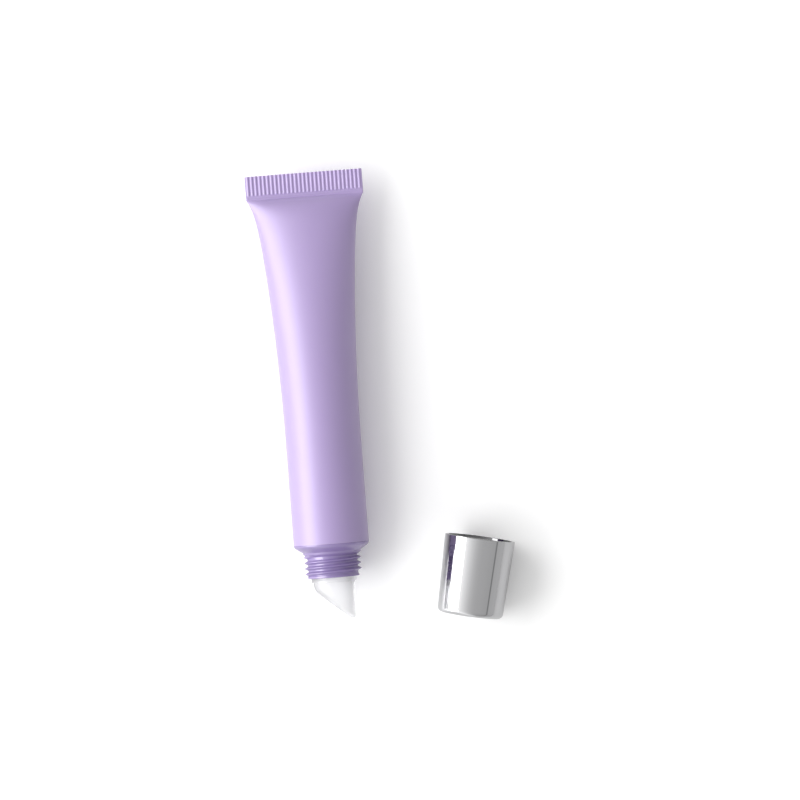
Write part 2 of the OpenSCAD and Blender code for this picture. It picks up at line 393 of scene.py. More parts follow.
def place_group(tree, group, **values):
    """Puts a node group in a material and sets its inputs, named with underscores."""
    node = tree.nodes.new("ShaderNodeGroup")
    node.node_tree = group
    for label, value in values.items():
        node.inputs[label.replace("_", " ")].default_value = value
    return node


def spread(tree, source, low, high):
    """Maps a value from 0..1 to low..high."""
    node = tree.nodes.new("ShaderNodeMapRange")
    node.inputs["To Min"].default_value = low
    node.inputs["To Max"].default_value = high
    tree.links.new(source, node.inputs["Value"])
    return node.outputs["Result"]


def two_tone(tree, source, colour, darker, lighter):
    """Mixes two shades of one colour by a mask."""
    mix = tree.nodes.new("ShaderNodeMix")
    mix.data_type = "RGBA"
    tree.links.new(source, mix.inputs["Factor"])
    shades = [tuple(min(1, c * k) for c in colour) + (1,) for k in (darker, lighter)]
    sockets = [s for s in mix.inputs if s.type == "RGBA"]
    for socket, shade in zip(sockets, shades):
        socket.default_value = shade
    return next(s for s in mix.outputs if s.type == "RGBA")


def moulded_material(name, colour, look):
    """A material with a cloudy two-tone colour, uneven roughness and a fine relief.

    look holds the shades, the roughness range, the scales of the patterns and the
    shader's own constant values by socket name.
    """
    material = bpy.data.materials.new(name)
    material.use_nodes = True
    tree = material.node_tree
    shader = tree.nodes["Principled BSDF"]
    mottle = place_group(
        tree, mottle_group(), Cloud_Scale=look["cloud"], Grain_Scale=look["grain"]
    )
    tint_out = two_tone(tree, mottle.outputs["Cloud"], colour, *look["shades"])
    tree.links.new(tint_out, shader.inputs["Base Color"])
    rough = spread(tree, mottle.outputs["Grain"], *look["rough"])
    tree.links.new(rough, shader.inputs["Roughness"])
    relief = place_group(
        tree, relief_group(),
        Scale=look["relief"], Strength=look["strength"], Distance=look["distance"],
    )
    tree.links.new(relief.outputs["Normal"], shader.inputs["Normal"])
    for socket, value in look.get("shader", {}).items():
        shader.inputs[socket].default_value = value
    return material


def scale_colour(material, amount):
    """Multiplies the colour a material already has by the value of another socket."""
    tree = material.node_tree
    shader = tree.nodes["Principled BSDF"]
    product = tree.nodes.new("ShaderNodeVectorMath")
    product.operation = "SCALE"
    tree.links.new(shader.inputs["Base Color"].links[0].from_socket, product.inputs["Vector"])
    tree.links.new(amount, product.inputs["Scale"])
    tree.links.new(product.outputs["Vector"], shader.inputs["Base Color"])


def sleeve_plastic():
    """Soft satin polyethylene with the faint skin of an extruded sleeve."""
    return moulded_material("soft_satin_sleeve", settings().finish.sleeve, {
        "cloud": 45.0, "grain": 1800.0, "shades": (0.975, 1.025), "rough": (0.40, 0.48),
        "relief": 2600.0, "strength": 0.12, "distance": 0.00002,
        "shader": {
            "IOR": 1.5, "Specular IOR Level": 0.75, "Subsurface Weight": 0.12,
            "Sheen Weight": 0.3, "Sheen Roughness": 0.5,
            "Subsurface Radius": (1.0, 0.8, 1.2), "Subsurface Scale": 0.0006,
        },
    })


def head_plastic():
    """Harder moulded polyethylene of the shoulder and neck, a little glossier."""
    return moulded_material("moulded_neck", settings().finish.head, {
        "cloud": 120.0, "grain": 2400.0, "shades": (0.96, 1.04), "rough": (0.17, 0.24),
        "relief": 3200.0, "strength": 0.10, "distance": 0.00002,
        "shader": {"IOR": 1.5, "Specular IOR Level": 1.0},
    })


# How fast the painted edge shade turns the tip grey away from the viewer, and the share of white
# left there.
TIP_BLEND = 0.3
TIP_EDGE_SHADE = 0.62


def tip_plastic():
    """Milky translucent polyethylene of the slanted tip, with painted shade making it greyer
    where it is seen edge on.
    """
    material = moulded_material("milky_tip", settings().finish.tip, {
        "cloud": 150.0, "grain": 2000.0, "shades": (0.98, 1.0), "rough": (0.36, 0.44),
        "relief": 2400.0, "strength": 0.02, "distance": 0.00001,
        "shader": {"IOR": 1.18, "Transmission Weight": 0.82},
    })
    tree = material.node_tree
    # Painted shade: the colour darkens towards the tip's silhouette, by how far the surface
    # faces away.
    facing = tree.nodes.new("ShaderNodeLayerWeight")
    facing.inputs["Blend"].default_value = TIP_BLEND
    scale_colour(material, spread(tree, facing.outputs["Facing"], 1.0, TIP_EDGE_SHADE))
    return material


def gloss_gel():
    """Thick glossy gel with slow streaks of colour."""
    return moulded_material("gloss_gel", settings().finish.gloss, {
        "cloud": 220.0, "grain": 900.0, "shades": (0.9, 1.08), "rough": (0.05, 0.12),
        "relief": 400.0, "strength": 0.05, "distance": 0.0001,
        "shader": {"IOR": 1.46, "Coat Weight": 0.6, "Coat Roughness": 0.05},
    })


# The point attribute that is 1 inside the cap, and the share of the colour the plating keeps
# there: painted shade for the inside of the cup.
PAINTED_SHADE_MASK = "painted_inside_shade"
PAINTED_INSIDE_SHADE = 0.3


def plating():
    """Bright plating with very faint wipe marks, darkened inside the cap by painted shade."""
    material = moulded_material("bright_plating", settings().finish.plating, {
        "cloud": 160.0, "grain": 900.0, "shades": (0.985, 1.015), "rough": (0.035, 0.075),
        "relief": 500.0, "strength": 0.02, "distance": 0.00002,
        "shader": {"Metallic": 1.0},
    })
    tree = material.node_tree
    inside = tree.nodes.new("ShaderNodeAttribute")
    inside.attribute_name = PAINTED_SHADE_MASK
    # Painted shade: the plating's colour is darkened where the mask marks the inside of the cap.
    scale_colour(material, spread(tree, inside.outputs["Fac"], 1.0, PAINTED_INSIDE_SHADE))
    return material


def liner_plastic():
    """Plain moulded polypropylene of the cap's liner."""
    return moulded_material("moulded_liner", settings().finish.liner, {
        "cloud": 140.0, "grain": 2000.0, "shades": (0.95, 1.05), "rough": (0.35, 0.45),
        "relief": 2600.0, "strength": 0.1, "distance": 0.00002,
        "shader": {"IOR": 1.49},
    })


def ring_foam():
    """Closed-cell foam of the sealing ring."""
    return moulded_material("closed_cell_foam", settings().finish.ring, {
        "cloud": 900.0, "grain": 3500.0, "shades": (0.9, 1.05), "rough": (0.6, 0.8),
        "relief": 4000.0, "strength": 0.5, "distance": 0.00005,
        "shader": {"IOR": 1.45},
    })


# ---------------------------------------------------------------------------- the sleeve

# The wall's width along the flare: the quick part's share and reach, the slow one's power.
FLARE_SHARE = 0.305
FLARE_REACH = 3.3
TAPER_POWER = 2.2
# Where the outer wall ends before the round end, and where the inner one ends past the seal.
SHOULDER_START = 0.4
FILL_START = 1.2
# The wall's section just past the seal: powers of its shape, heights and reaches in mm.
ROUND_POWER = 0.5
LENS_POWER = 0.25
LENS_REACH = 2.5
PLATE_POWER = 0.08
PLATE_REACH = 2.0
HOLLOW_H = 0.7
HOLLOW_REACH = 2.5
# Where the points stop marching evenly, and over what length.
MARCH_END = 9
MARCH_FADE = 1.5
# The ridges' swing about half height, their run-out and the fade at the seal's sides.
RIDGE_SWING = 0.72
RIDGE_RUN_OUT = 0.05
SIDE_FADE = 30
# The bead where the seal ends: its height and its distance into the seal.
BEAD_H = 0.07
BEAD_IN = 0.22
# Rings: gaps from the crimped edge, about the ridges' end and before the seal's own, the
# power that crowds them at the start of the flare, and the first one's sizes on the face.
EDGE_GAPS = (0.06, 0.5)
RUN_OUT_NEAR = 0.25
RUN_OUT_FAR = 0.4
SEAL_END_GAP = 0.02
CROWDING = 1.7
SQUEEZED = (0.01, 0.35, 0.7)
HALVINGS = 30


def ellipse_girth(a, b):
    """Ramanujan's perimeter of an ellipse with the half-axes a and b."""
    return np.pi * (3 * (a + b) - np.sqrt((3 * a + b) * (a + 3 * b)))


def wall_halves(s):
    """Half width and half height of the wall's middle at distances s from the seal.

    The width falls from half the girth to the round diameter as a power taper and a
    quick decay, and the height is the one that keeps the girth, found by halving.
    """
    sizes = settings().sleeve
    round_r = SLEEVE_R - sizes.wall / 2
    flat = np.pi * round_r / 2
    left = np.clip(1 - s / sizes.flare, 0, 1)
    share = (1 - FLARE_SHARE) * left ** TAPER_POWER + FLARE_SHARE * np.exp(-s / FLARE_REACH)
    a = round_r + (flat - round_r) * share
    low, high = np.zeros_like(a), np.full_like(a, round_r)
    for _ in range(HALVINGS):
        middle = (low + high) / 2
        over = ellipse_girth(a, middle) > 2 * np.pi * round_r
        low, high = np.where(over, low, middle), np.where(over, middle, high)
    return a, (low + high) / 2


def sleeve_rings(s, grow, columns):
    """Rings of the wall at distances s from the seal, moved by grow off its middle.

    Round the ring, x goes from cos(turn) on the round sleeve to an even march across
    the flat seal. The height is a thin plate of nearly even thickness plus a swell, both
    powers of 1 - (x / half width) squared: one half makes the swell an ellipse, and a
    little more just past the seal lets the two walls meet at an edge. On the seal only
    the plate is left, with its ridges and a low bead where it ends.
    """
    sizes = settings().sleeve
    turn = np.linspace(0, 2 * np.pi, columns, endpoint=False)
    march = 1 - 2 * np.abs(np.mod(turn / np.pi + 1, 2) - 1)
    side = np.where(turn < np.pi, 1.0, -1.0)
    s = s[:, None]
    past = np.maximum(s, 0)
    a, b = wall_halves(past)
    b = b - (HOLLOW_H if grow > 0 else 0) * np.exp(-past / HOLLOW_REACH)
    tall = np.maximum(b + grow, sizes.seal_t / 2)
    even = 1 / (1 + np.exp((s - MARCH_END) / MARCH_FADE))
    x_share = (1 - even) * np.cos(turn) + even * march
    power = ROUND_POWER + LENS_POWER * np.exp(-past / LENS_REACH)
    low_part = np.clip(1 - x_share ** 2, 0, 1)
    plate = (sizes.wall + (sizes.seal_t - sizes.wall) * np.exp(-past / PLATE_REACH)) / 2
    height = plate * low_part ** PLATE_POWER + (tall - plate) * low_part ** power
    height = np.where(grow > 0, height, tall * low_part ** ROUND_POWER)
    x = (a + grow) * x_share
    pitch = 2 * wall_halves(np.zeros(1))[0][0] / sizes.ridges
    wave = np.cos(2 * np.pi * (x / pitch + sizes.ridges / 2))
    crest = np.clip(0.5 - RIDGE_SWING * wave, 0, 1)
    on_ridges = 1 / (1 + np.exp((s - sizes.ridge_len + sizes.seal) / RIDGE_RUN_OUT))
    off_side = np.clip(low_part * SIDE_FADE, 0, 1)
    bead = BEAD_H * np.exp(-((s + BEAD_IN) / BEAD_IN) ** 2)
    height = height + (sizes.ridge * crest * on_ridges + bead) * off_side * (grow > 0)
    z = s + sizes.seal - sleeve_length()
    return np.stack([x, side * height, np.broadcast_to(z, x.shape)], axis=-1)


def build_sleeve():
    """Crimped edge, outer wall to the round end, then the inner wall back.

    The edge's flat face is the first ring squeezed towards the middle of the seal.
    """
    sizes = settings().sleeve
    last = sleeve_length() - sizes.seal - SHOULDER_START
    ridge_end = sizes.ridge_len - sizes.seal
    seal = np.concatenate([
        [-sizes.seal, -sizes.seal + EDGE_GAPS[0]],
        np.linspace(-sizes.seal + EDGE_GAPS[1], ridge_end - RUN_OUT_FAR, 5),
        np.linspace(ridge_end - RUN_OUT_NEAR, ridge_end + RUN_OUT_NEAR, 9),
        np.linspace(ridge_end + RUN_OUT_FAR, -SEAL_END_GAP, 10),
    ])
    flare = sizes.flare * np.linspace(0, 1, 64) ** CROWDING
    outer = np.concatenate([seal, flare, np.linspace(sizes.flare, last, 10)[1:]])
    inner = np.concatenate([[last], np.linspace(last, FILL_START, 22)[1:]])
    columns = 600
    outside = sleeve_rings(outer, sizes.wall / 2, columns)
    end_face = [outside[:1] * (1, share, 1) for share in SQUEEZED]
    grid = np.concatenate([
        *end_face, outside, sleeve_rings(inner, -sizes.wall / 2, columns),
    ])
    piece = surface("crimped_sleeve", grid, lay_tube, close_rows=False)
    finish_piece(piece, sleeve_plastic(), "tube", "sleeve")


# ------------------------------------------------------------------------------ the head

# Lengths in mm and angles in degrees.
SKIRT_LEN = 2.2
SKIRT_WALL = 0.9
SHOULDER_ROUND = 1.1
SHOULDER_TURN = 57
SHOULDER_R = 7.4
NECK_BASE_R = 7.2
NECK_BASE_Z = 2.1
NECK_ROOT_Z = 2.75
SKIRT_SLOPE_Z = 1.0
HEAD_WALL = 1.3
RIM_STEP = 0.2
RIM_Z = 7.45
RIM_LEAN = 0.04
RIM_ROUND = 0.12
BORE_CHAMFER = 0.1
# The round where the shoulder leaves the sleeve, up to the angle where the next begins.
SEAM_R = 0.07
SEAM_END = 6
# Small slopes in radius and height at the outer and the inner end of the shoulder.
SLOPE_STEP = (0.1, 0.065)
BEVEL = (0.04, 0.06)
# The thread: height of its middle at turn zero, and the turns where it starts and ends.
THREAD_ZERO = 3.48
THREAD_START = -240
THREAD_END = 950
# The mould's parting line: where it runs, how wide and how high it is.
FLASH_TURN = 42
FLASH_SPREAD = 1.3
FLASH_H = 0.07


def flash_rise(columns):
    """Height of the mould's parting line: a thin bell on two opposite sides."""
    turn = np.linspace(0, 360, columns, endpoint=False)
    away = np.abs(np.mod(turn - FLASH_TURN + 90, 180) - 90)
    return FLASH_H * np.exp(-(away / FLASH_SPREAD) ** 2)


def build_head():
    """Profile of skirt, shoulder, neck and bore turned about the axis, with the thread
    raised on the neck as a height over angle and distance along the axis."""
    sizes = settings().head
    skirt_r = SLEEVE_R - settings().sleeve.wall - SLIP
    rim_r = sizes.neck + RIM_STEP
    bore_edge = sizes.top - BORE_CHAMFER
    corner = (SLEEVE_R - SHOULDER_ROUND, -SHOULDER_START)
    edge = arc(corner, SHOULDER_ROUND, SEAM_END, SHOULDER_TURN, 10)
    profile = outline(
        line((skirt_r, -SKIRT_LEN), (skirt_r, -SHOULDER_START), 3),
        (skirt_r, -SHOULDER_START),
        arc((SLEEVE_R - SEAM_R, SEAM_R - SHOULDER_START), SEAM_R, -90, -10, 4),
        edge,
        line(edge[-1] + (-SLOPE_STEP[0], SLOPE_STEP[1]), (SHOULDER_R, sizes.shoulder), 6),
        (SHOULDER_R, sizes.shoulder),
        line(
            (SHOULDER_R - BEVEL[0], sizes.shoulder + BEVEL[1]), (NECK_BASE_R, NECK_BASE_Z), 8
        ),
        line((NECK_BASE_R, NECK_BASE_Z), (sizes.neck, NECK_ROOT_Z), 18),
        line((sizes.neck, NECK_ROOT_Z), (sizes.neck, RIM_Z), 116),
        (sizes.neck, RIM_Z),
        (rim_r - RIM_LEAN, RIM_Z + RIM_ROUND),
        arc((rim_r - RIM_ROUND, sizes.top - RIM_ROUND), RIM_ROUND, 0, 90, 5),
        line((sizes.bore + BORE_CHAMFER, sizes.top), (sizes.bore, bore_edge), 3),
        line((sizes.bore, bore_edge), (sizes.bore, sizes.shoulder), 6),
        (sizes.bore, sizes.shoulder),
        (SHOULDER_R, sizes.shoulder - HEAD_WALL),
        (skirt_r - SKIRT_WALL, -SKIRT_SLOPE_Z),
        (skirt_r - SKIRT_WALL, -SKIRT_LEN),
    )
    columns = 240
    grid = turned(profile, columns)
    radius, z = profile[:, :1], profile[:, 1:]
    share = thread_share(profile, columns, THREAD_ZERO, THREAD_START, THREAD_END)
    ridge = np.maximum((sizes.neck + sizes.thread - radius) * share, 0)
    outside = (z > sizes.shoulder + GAP) & (radius > sizes.neck - SLIP)
    swell(grid, profile, outside * (ridge + flash_rise(columns)))
    piece = surface(
        "shoulder_and_neck", grid, lay_tube, close_rows=True, sharp_angle=SHARP_THREADED
    )
    finish_piece(piece, head_plastic(), "tube", "tube_head")


# ------------------------------------------------------------------------------- the tip

# Lengths in mm; the point and the heel are the ends of the slanted face.
PLUG_LEN = 5.2
PLUG_WALL = 0.8
SLANT_MIDDLE = 15.54
APEX_ROUND = 0.75
HEEL_ROUND = 3.0
HEEL_SHARE = 0.8
INNER_APEX_ROUND = 0.3
PLUG_LEAD = (0.25, 0.35)
COLLAR_FOOT_ROUND = 0.12
COLLAR_ROUND = 0.2
COLLAR_ROOT = 0.06


def tip_skin(radius_low, radius_high, middle, rounding, hole, columns):
    """Rows from the foot of a tapered tube up its side, round the rim and over the
    slanted face to a central hole.

    In the plane of each column the face is a line whose slope is the slant's tangent
    times the cosine of the column's angle. An arc tangent to the side and to that line
    rounds the rim, with a radius that grows from the point to the heel.
    """
    sizes = settings().tip
    foot = settings().head.top + sizes.collar_h / 2
    turn = np.linspace(0, 2 * np.pi, columns, endpoint=False)
    slope = math.tan(sizes.slant) * np.cos(turn)
    heel = ((1 - np.cos(turn)) / 2) ** 2
    r = rounding[0] + (rounding[1] - rounding[0]) * heel
    rim = radius_high + (radius_low - radius_high) * heel * HEEL_SHARE
    centre_r = rim - r
    centre_z = middle + slope * centre_r - r * np.sqrt(1 + slope ** 2)
    up = np.linspace(0, 1, 14)[:, None]
    side_r = radius_low + (rim - radius_low) * up
    side_z = foot + (centre_z - foot) * up
    bend = np.linspace(0, 1, 14)[1:, None] * (np.pi / 2 + np.arctan(slope))
    bend_r = centre_r + r * np.cos(bend)
    bend_z = centre_z + r * np.sin(bend)
    over = np.linspace(0, 1, 26)[1:, None]
    face_r = bend_r[-1] + (hole - bend_r[-1]) * over
    face_z = middle + slope * face_r
    radius = np.concatenate([side_r * np.ones(columns), bend_r, face_r])
    z = np.concatenate([side_z, bend_z, face_z])
    return np.stack([radius * np.cos(turn), radius * np.sin(turn), z], axis=-1)


def build_tip():
    """Plug, collar and outside of the slanted body, through the outlet to the inside,
    and down the inner wall and the plug's bore back to the start.

    Light passes through the milky wall, so the tip throws no hard shadow.
    """
    sizes = settings().tip
    head = settings().head
    plug_r = head.bore - SLIP
    hollow_r = plug_r - PLUG_WALL
    plug_foot = head.top - PLUG_LEN
    collar_top = head.top + sizes.collar_h
    columns = 192
    low = (sizes.collar - COLLAR_FOOT_ROUND, head.top + COLLAR_FOOT_ROUND)
    high = (sizes.collar - COLLAR_ROUND, collar_top - COLLAR_ROUND)
    foot = turned(outline(
        (plug_r - PLUG_LEAD[0], plug_foot),
        (plug_r, plug_foot + PLUG_LEAD[1]),
        (plug_r, head.top),
        arc(low, COLLAR_FOOT_ROUND, -90, 0, 4),
        arc(high, COLLAR_ROUND, 0, 90, 6),
        (sizes.base + COLLAR_ROOT, collar_top),
    ), columns)
    drop = sizes.wall / math.cos(sizes.slant)
    outer = tip_skin(
        sizes.base, sizes.end, SLANT_MIDDLE, (APEX_ROUND, HEEL_ROUND), sizes.outlet, columns
    )
    outer = outer[outer[:, 0, 2] > collar_top + SLIP]
    inner = tip_skin(
        sizes.base - sizes.wall, sizes.end - sizes.wall, SLANT_MIDDLE - drop,
        (INNER_APEX_ROUND, HEEL_ROUND - sizes.wall), sizes.outlet, columns,
    )[::-1]
    bore = turned(outline(
        (hollow_r, head.top + sizes.collar_h / 2), (hollow_r, plug_foot)
    ), columns)
    grid = np.concatenate([foot, outer, inner, bore])
    piece = surface("slanted_tip", grid, lay_tube, close_rows=True)
    piece.visible_shadow = False
    finish_piece(piece, tip_plastic(), "tube", "slant_tip")


# ------------------------------------------------------------------------------- the cap

END_WALL = 1.2
LINER_SET_BACK = 0.6
LINER_WALL = 0.8
LINER_THREAD_LEN = 6.6
LINER_BORE_R = 5.9
LINER_MID_R = 7.1
LINER_STEP_Z = 7.6
LINER_NECK_Z = 8.8
SEAT_R = 6.75
LIP = 0.15
# Rows of the shell past its flat inside end that still count as the inside and get its painted
# shade.
LIP_ROWS = 20
# The two radii at which the flat ends of shell and liner stop before their middle.
HUB_R = 0.3
POLE_R = 0.02
# Liner: room past the thread's crest and root, its thread's first height and last turn,
# the ends of its thread, the steps of its mouth, and the slope and round further in.
GROOVE_ROOM = 0.12
RIDGE_ROOM = 0.27
LINER_ZERO = 0.9
LINER_THREAD_END = 1150
LEAD_IN = 0.5
LEAD_OUT = 0.3
MOUTH_STEPS = ((0.2, 0.05), (0.28, 0.0))
NECK_SLOPE = 0.4
ROOF_ROUND = 0.2
ROOF_STEP = 0.1


def cap_taper():
    """Angle between the cap's side and its axis."""
    sizes = settings().cap
    return math.atan((sizes.mouth - sizes.end) / sizes.length)


def shell_inside(z):
    """Radius of the shell's inside at a distance z from the mouth."""
    sizes = settings().cap
    return sizes.mouth - sizes.wall - z * math.tan(cap_taper())


def build_cap_shell():
    """Tapered cup turned about the cap's axis, with a rounded lip and a rounded edge."""
    sizes = settings().cap
    inner_z = sizes.length - END_WALL
    edge = (sizes.end - sizes.edge, sizes.length - sizes.edge)
    lip_middle = shell_inside(0) + LIP
    profile = outline(
        line((shell_inside(inner_z), inner_z), (shell_inside(0), LIP), 12),
        arc((lip_middle, LIP), LIP, 180, 270, 6),
        arc((sizes.mouth - LIP, LIP), LIP, -90, 0, 6),
        line((sizes.mouth, LIP + GAP), (sizes.end, sizes.length - sizes.edge), 16),
        arc(edge, sizes.edge, math.degrees(cap_taper()), 90, 16),
        line((edge[0] - GAP, sizes.length), (HUB_R, sizes.length), 8),
        (POLE_R, sizes.length),
    )
    inside = outline(
        (POLE_R, inner_z), line((HUB_R, inner_z), (shell_inside(inner_z), inner_z), 8)
    )
    columns = 192
    grid = turned(outline(inside, profile), columns)
    piece = surface("plated_shell", grid, lay_cap, close_rows=False)
    # Painted shade: these rows, the inside of the cup and its lip, are marked to darken the
    # plating.
    painted_rows = np.arange(len(grid)) < len(inside) + LIP_ROWS
    mask = np.concatenate([np.repeat(painted_rows, columns), (1, 0)])
    layer = piece.data.attributes.new(PAINTED_SHADE_MASK, "FLOAT", "POINT")
    layer.data.foreach_set("value", mask.astype(np.float32))
    finish_piece(piece, plating(), "cap", "cap_shell")


def build_liner():
    """Liner turned about the cap's axis, with the female thread raised inwards."""
    head = settings().head
    groove_r = head.neck + head.thread + GROOVE_ROOM
    ridge_r = head.neck + RIDGE_ROOM
    roof_z = settings().cap.length - END_WALL - SLIP
    inner_roof = roof_z - LINER_WALL
    mouth_z = LINER_SET_BACK + LEAD_IN
    profile = outline(
        (POLE_R, inner_roof),
        line((HUB_R, inner_roof), (LINER_BORE_R - ROOF_ROUND, inner_roof), 6),
        arc((LINER_BORE_R - ROOF_ROUND, inner_roof - ROOF_ROUND), ROOF_ROUND, 90, 0, 4),
        line((LINER_BORE_R, inner_roof - ROOF_ROUND - GAP), (LINER_BORE_R, LINER_STEP_Z), 8),
        (LINER_BORE_R, LINER_STEP_Z),
        (SEAT_R, LINER_STEP_Z),
        (SEAT_R, LINER_THREAD_LEN),
        line((groove_r, LINER_THREAD_LEN - LEAD_OUT), (groove_r, mouth_z), 120),
        (groove_r, mouth_z),
        np.add((groove_r, LINER_SET_BACK), MOUTH_STEPS),
        (shell_inside(LINER_SET_BACK) - SLIP, LINER_SET_BACK),
        (shell_inside(LINER_NECK_Z) - SLIP, LINER_NECK_Z),
        (LINER_MID_R, LINER_NECK_Z + NECK_SLOPE),
        (LINER_MID_R, roof_z),
        line((LINER_MID_R - ROOF_STEP, roof_z), (HUB_R, roof_z), 6),
        (POLE_R, roof_z),
    )
    columns = 200
    grid = turned(profile, columns)
    zero = LINER_SET_BACK + LINER_ZERO
    share = thread_share(profile, columns, zero, 0, LINER_THREAD_END)
    inside = np.abs(profile[:, :1] - groove_r) < SLIP
    swell(grid, profile, (ridge_r - groove_r) * inside * share)
    piece = surface(
        "threaded_liner", grid, lay_cap, close_rows=False, sharp_angle=SHARP_THREADED
    )
    finish_piece(piece, liner_plastic(), "cap", "cap_liner")


# ------------------------------------------------------------- pieces that stay as CAD

def paint_node(node, material):
    """Puts one material on every face of a CAD node that stays as it is."""
    slots = frame["nodes"][node].data.materials
    slots.clear()
    slots.append(material)


def build_fillings():
    """Finishes the gloss and the sealing ring, whose CAD shapes stay as they are."""
    paint_node("gloss_fill", gloss_gel())
    paint_node("sealing_ring", ring_foam())


# ----------------------------------------------------------------------------- the stage

# Places and sizes in metres, the camera's sensor in mm, angles in degrees.
FLOOR_HALF = 3.0
FLOOR_ROUGH = 0.35
FLOOR_SHADES = (0.995, 1.005)
KEY_PLACE = (-0.68, 0.12, 0.44)
KEY_SIZE = (1.3, 0.85)
SHINE_PLACE = (-0.714, 0.126, 0.338)
SHINE_SIZE = (1.3, 0.58)
CAMERA_X = 0.0042
CAMERA_Y = -0.0010
CAMERA_ROLL = -4.39
SENSOR_WIDTH = 36
CLIP_START = 0.01
# How bright the floor is for the camera and for mirror-like pieces, against its own.
SEEN_FLOOR = 1.28
MIRRORED_FLOOR = 0.95
# Light of the room along the tube's axis, from -Y to +Y.
END_LIGHT = ((-1.0, 0.85), (-0.3, 1.0), (0.3, 0.94), (0.6, 0.75), (1.0, 0.3))
# Light of the room round the tube's axis: degrees from straight up, towards +X, and grey.
ROOM = [
    (-180, 0.70), (-95, 0.80), (-50, 1.85), (-35, 1.38), (-23, 1.09), (-11, 0.86),
    (0, 0.73), (12, 0.66), (25, 0.64), (45, 0.60), (55, 0.59), (57.5, 0.30), (60, 0.30),
    (62.5, 0.63), (85, 0.68), (180, 0.70),
]


def floor_material():
    """Pale matt paper with a faint tooth. Mirror-like pieces see it a little darker."""
    material = bpy.data.materials.new("pale_paper")
    material.use_nodes = True
    tree = material.node_tree
    shader = tree.nodes["Principled BSDF"]
    mottle = place_group(tree, mottle_group(), Cloud_Scale=6.0, Grain_Scale=700.0)
    paper = two_tone(tree, mottle.outputs["Grain"], settings().finish.floor, *FLOOR_SHADES)
    tree.links.new(paper, shader.inputs["Base Color"])
    shader.inputs["Roughness"].default_value = FLOOR_ROUGH
    path = tree.nodes.new("ShaderNodeLightPath")
    for output, share in (("Is Camera Ray", SEEN_FLOOR), ("Is Glossy Ray", MIRRORED_FLOOR)):
        scale_colour(material, spread(tree, path.outputs[output], 1.0, share))
    return material


def build_floor():
    """A large flat sheet under the object."""
    share = np.array([(-1, -1, 0), (1, -1, 0), (1, 1, 0), (-1, 1, 0)], float)
    mesh = bpy.data.meshes.new("floor")
    mesh.from_pydata((share * FLOOR_HALF).tolist(), [], [(0, 1, 2, 3)])
    floor = bpy.data.objects.new("floor", mesh)
    bpy.context.scene.collection.objects.link(floor)
    floor.data.materials.append(floor_material())


def set_greys(ramp, greys):
    """Gives a colour ramp one grey stop for each pair of a position and a grey."""
    stops = ramp.color_ramp.elements
    while len(stops) < len(greys):
        stops.new(0.5)
    for stop, (position, grey) in zip(stops, greys):
        stop.position = position
        stop.color = (grey, grey, grey, 1)


def build_room():
    """Room light as a grey that depends on the angle about the tube's long axis, and
    that grows weaker towards the ends of that axis, most of all past the crimp."""
    world = bpy.data.worlds.new("studio_room")
    bpy.context.scene.world = world
    world.use_nodes = True
    tree = world.node_tree
    back = tree.nodes["Background"]
    place = tree.nodes.new("ShaderNodeTexCoord")
    parts = tree.nodes.new("ShaderNodeSeparateXYZ")
    angle = tree.nodes.new("ShaderNodeMath")
    angle.operation = "ARCTAN2"
    ramp = tree.nodes.new("ShaderNodeValToRGB")
    share = tree.nodes.new("ShaderNodeMapRange")
    share.inputs["From Min"].default_value = -math.pi
    share.inputs["From Max"].default_value = math.pi
    tree.links.new(place.outputs["Generated"], parts.inputs["Vector"])
    tree.links.new(parts.outputs["X"], angle.inputs[0])
    tree.links.new(parts.outputs["Z"], angle.inputs[1])
    tree.links.new(angle.outputs["Value"], share.inputs["Value"])
    tree.links.new(share.outputs["Result"], ramp.inputs["Fac"])
    tree.links.new(ramp.outputs["Color"], back.inputs["Color"])
    along = tree.nodes.new("ShaderNodeMapRange")
    along.inputs["From Min"].default_value = -1.0
    tree.links.new(parts.outputs["Y"], along.inputs["Value"])
    ends = tree.nodes.new("ShaderNodeValToRGB")
    tree.links.new(along.outputs["Result"], ends.inputs["Fac"])
    strength = spread(tree, ends.outputs["Color"], 0.0, settings().studio.sky_strength)
    tree.links.new(strength, back.inputs["Strength"])
    set_greys(ramp, [((degrees + 180) / 360, grey) for degrees, grey in ROOM])
    set_greys(ends, [((y + 1) / 2, grey) for y, grey in END_LIGHT])


def build_softbox(name, place, sides, power):
    """One large soft light aimed at the object."""
    lamp = bpy.data.lights.new(name, "AREA")
    lamp.shape = "RECTANGLE"
    lamp.size, lamp.size_y = sides
    lamp.energy = power
    box = bpy.data.objects.new(name, lamp)
    bpy.context.scene.collection.objects.link(box)
    box.location = place
    turn = math.atan2(place[0], -place[1])
    box.rotation_euler = (math.atan2(math.hypot(place[0], place[1]), place[2]), 0, turn)
    return box


def build_lights():
    """The key on the left, seen only by matt surfaces, and one that only makes shine."""
    studio = settings().studio
    key = build_softbox("key", KEY_PLACE, KEY_SIZE, studio.key_power)
    key.visible_glossy = False
    shine = build_softbox("shine", SHINE_PLACE, SHINE_SIZE, studio.shine_power)
    shine.visible_diffuse = False


def build_camera():
    """A long lens straight above the object, turned a little about its own axis."""
    lens = bpy.data.cameras.new("camera")
    lens.lens = settings().studio.lens
    lens.sensor_width = SENSOR_WIDTH
    lens.clip_start = CLIP_START
    camera = bpy.data.objects.new("camera", lens)
    bpy.context.scene.collection.objects.link(camera)
    camera.location = (CAMERA_X, CAMERA_Y, settings().studio.camera_height)
    camera.rotation_euler = (0, 0, math.radians(CAMERA_ROLL))
    bpy.context.scene.camera = camera


# ----------------------------------------------------------------------------- operators

def run(*builds):
    """Runs the parts of one step in order and reports it finished; a failure raises."""
    for build in builds:
        build()
    return {"FINISHED"}


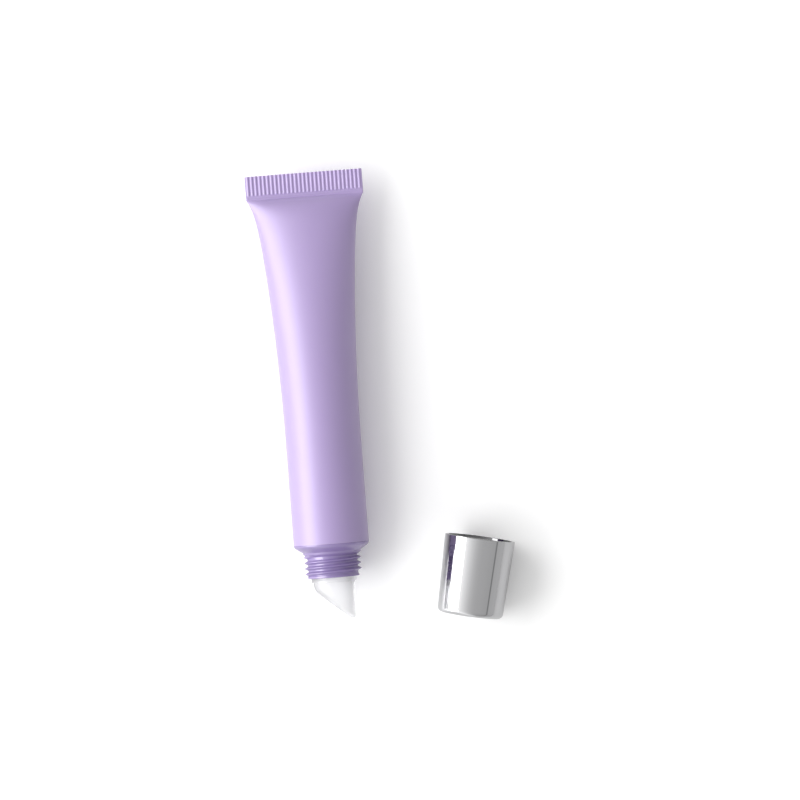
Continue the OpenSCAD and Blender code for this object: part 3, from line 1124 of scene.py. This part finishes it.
class GLOSS_OT_stage(bpy.types.Operator):
    """Sets up the floor, the room light, the key light and the camera"""

    bl_idname = "gloss.stage"
    bl_label = "Stage"

    def execute(self, context):
        context.scene.view_settings.view_transform = "Standard"
        return run(build_camera, build_floor, build_room, build_lights)


class GLOSS_OT_sleeve(bpy.types.Operator):
    """Builds the soft sleeve with its crimped seal"""

    bl_idname = "gloss.sleeve"
    bl_label = "Sleeve"

    def execute(self, context):
        return run(build_sleeve)


class GLOSS_OT_head(bpy.types.Operator):
    """Builds the shoulder and the threaded neck"""

    bl_idname = "gloss.head"
    bl_label = "Shoulder and neck"

    def execute(self, context):
        return run(build_head)


class GLOSS_OT_tip(bpy.types.Operator):
    """Builds the slanted tip with its plug"""

    bl_idname = "gloss.tip"
    bl_label = "Slanted tip"

    def execute(self, context):
        return run(build_tip)


class GLOSS_OT_cap(bpy.types.Operator):
    """Builds the plated shell and the threaded liner of the cap"""

    bl_idname = "gloss.cap"
    bl_label = "Cap"

    def execute(self, context):
        return run(build_cap_shell, build_liner)


class GLOSS_OT_fillings(bpy.types.Operator):
    """Finishes the gloss inside the sleeve and the sealing ring in the cap"""

    bl_idname = "gloss.fillings"
    bl_label = "Gloss and sealing ring"

    def execute(self, context):
        return run(build_fillings)


class GLOSS_PT_panel(bpy.types.Panel):
    """Lists the building steps and the values they read"""

    bl_idname = "GLOSS_PT_panel"
    bl_label = "Gloss Tube"
    bl_space_type = "VIEW_3D"
    bl_region_type = "UI"
    bl_category = "Gloss Tube"

    def draw(self, context):
        for step in STEPS:
            self.layout.operator(step.bl_idname)
        for part in ("sleeve", "head", "tip", "cap", "finish", "studio"):
            box = self.layout.box()
            box.label(text=part.capitalize())
            group = getattr(context.scene.gloss_tube, part)
            for name in group.__annotations__:
                box.prop(group, name)


STEPS = (
    GLOSS_OT_stage, GLOSS_OT_sleeve, GLOSS_OT_head, GLOSS_OT_tip, GLOSS_OT_cap,
    GLOSS_OT_fillings,
)
CLASSES = (
    GlossSleeveSizes, GlossHeadSizes, GlossTipSizes, GlossCapSizes, GlossFinishes,
    GlossStudio, GlossTube, *STEPS, GLOSS_PT_panel,
)


def register():
    """Adds the classes and the scene's settings to Blender."""
    for cls in CLASSES:
        bpy.utils.register_class(cls)
    bpy.types.Scene.gloss_tube = PointerProperty(type=GlossTube)


def unregister():
    """Takes the settings and the classes out of Blender again."""
    del bpy.types.Scene.gloss_tube
    for cls in reversed(CLASSES):
        bpy.utils.unregister_class(cls)


def main():
    """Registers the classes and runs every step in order."""
    register()
    bpy.ops.gloss.stage()
    bpy.ops.gloss.sleeve()
    bpy.ops.gloss.head()
    bpy.ops.gloss.tip()
    bpy.ops.gloss.cap()
    bpy.ops.gloss.fillings()


if __name__ == "__main__":
    main()
